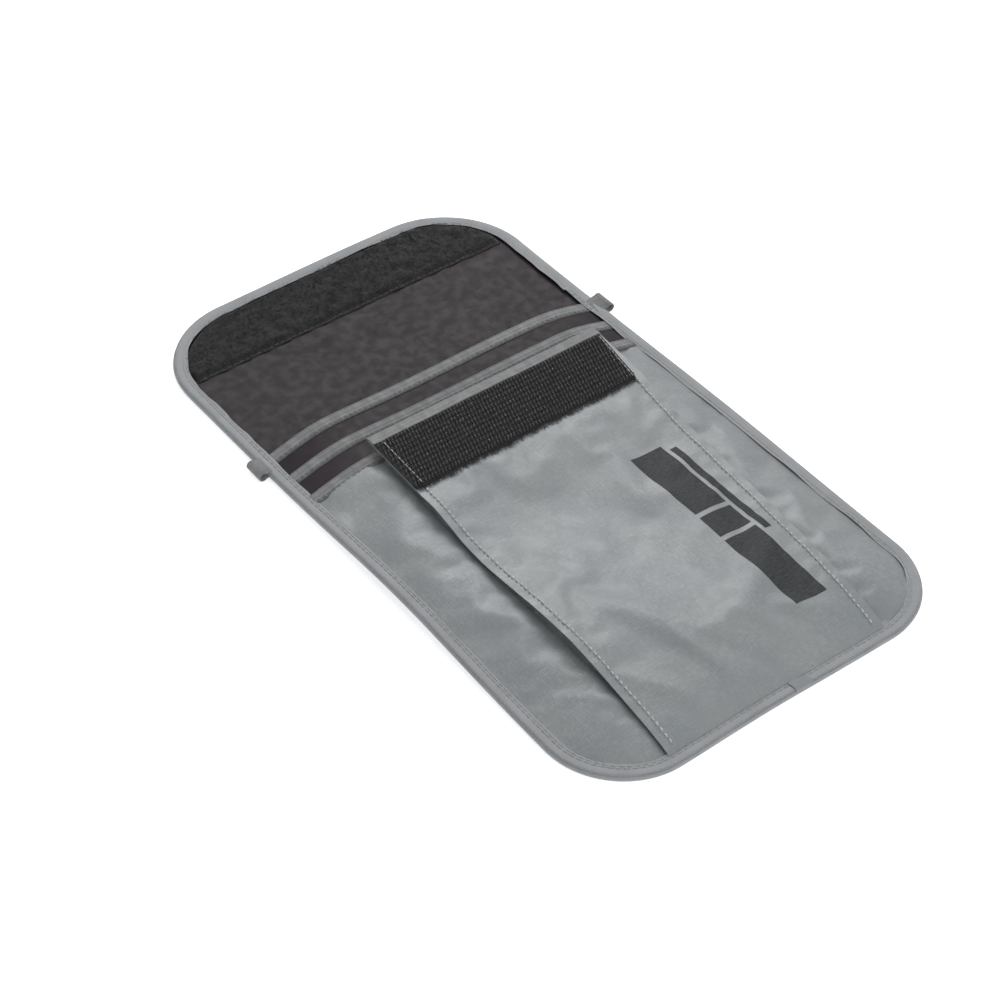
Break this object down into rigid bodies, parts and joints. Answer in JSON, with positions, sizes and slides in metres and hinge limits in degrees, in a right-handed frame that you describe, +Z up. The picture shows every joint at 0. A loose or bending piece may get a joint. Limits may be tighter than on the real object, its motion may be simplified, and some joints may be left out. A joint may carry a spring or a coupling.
{
  "type": "neck pouch wallet",
  "caption": "Flat cloth neck pouch with a fold-over hook-and-loop flap, note compartment, stepped card pockets and a bellows front pocket.",
  "frame": {"origin": "on the resting surface, under the middle of the open pouch", "axes": "+X across the pouch, +Y from the bottom edge towards the tip of the open flap, +Z up out of the front face"},
  "size_m": [0.1472, 0.256, 0.0136],
  "materials": {
    "ripstop": "satin coated ripstop nylon, grey",
    "lining": "smooth dark coated lining",
    "pocket_tape": "plain woven tape, light grey",
    "binding": "folded edge tape, grey",
    "hook": "black hook fastener tape",
    "loop": "black brushed loop fastener tape",
    "thread": "matt sewing thread",
    "webbing": "narrow woven webbing",
    "ink": "dark printed ink"
  },
  "bodies": {
    "pouch": {"rear_panel": "ripstop", "rear_lining": "lining", "card_pocket_rear": "lining", "card_pocket_rear_tape": "pocket_tape", "card_pocket_middle": "lining", "card_pocket_middle_tape": "pocket_tape", "front_panel": "ripstop", "front_panel_tape": "pocket_tape", "pocket_tape_stitching": "thread", "body_binding": "binding", "body_binding_stitching": "thread", "cord_loop_left": "webbing", "cord_loop_right": "webbing", "front_pocket_gusset_left": "ripstop", "front_pocket_gusset_right": "ripstop"},
    "front_pocket": {"front_pocket_panel": "ripstop", "front_pocket_hem": "pocket_tape", "hook_tape": "hook", "front_pocket_stitching": "thread", "hook_tape_stitching": "thread", "printed_mark": "ink"},
    "fold_band": {"fold_band_panel": "ripstop", "fold_band_lining": "lining", "fold_band_binding": "binding"},
    "flap": {"flap_panel": "ripstop", "flap_lining": "lining", "loop_tape": "loop", "flap_binding": "binding", "flap_binding_stitching": "thread", "loop_tape_stitching": "thread"}
  },
  "joints": [
    {"name": "flap_fold_lower", "type": "hinge", "parent": "pouch", "child": "fold_band", "pos_m": [0, 0.05535, 0.0011], "axis": [1, 0, 0], "range_deg": [0, 90]},
    {"name": "flap_fold_upper", "type": "hinge", "parent": "fold_band", "child": "flap", "pos_m": [0, 0.06985, 0.0011], "axis": [1, 0, 0], "range_deg": [0, 90]},
    {"name": "front_pocket_mouth", "type": "hinge", "parent": "pouch", "child": "front_pocket", "pos_m": [0, -0.122, 0.00245], "axis": [1, 0, 0], "range_deg": [-1.4, 0], "deforming": ["front_pocket_gusset_left", "front_pocket_gusset_right"]}
  ],
  "couplings": [
    {"joint": "flap_fold_upper", "follows": "flap_fold_lower", "ratio": 1}
  ]
}
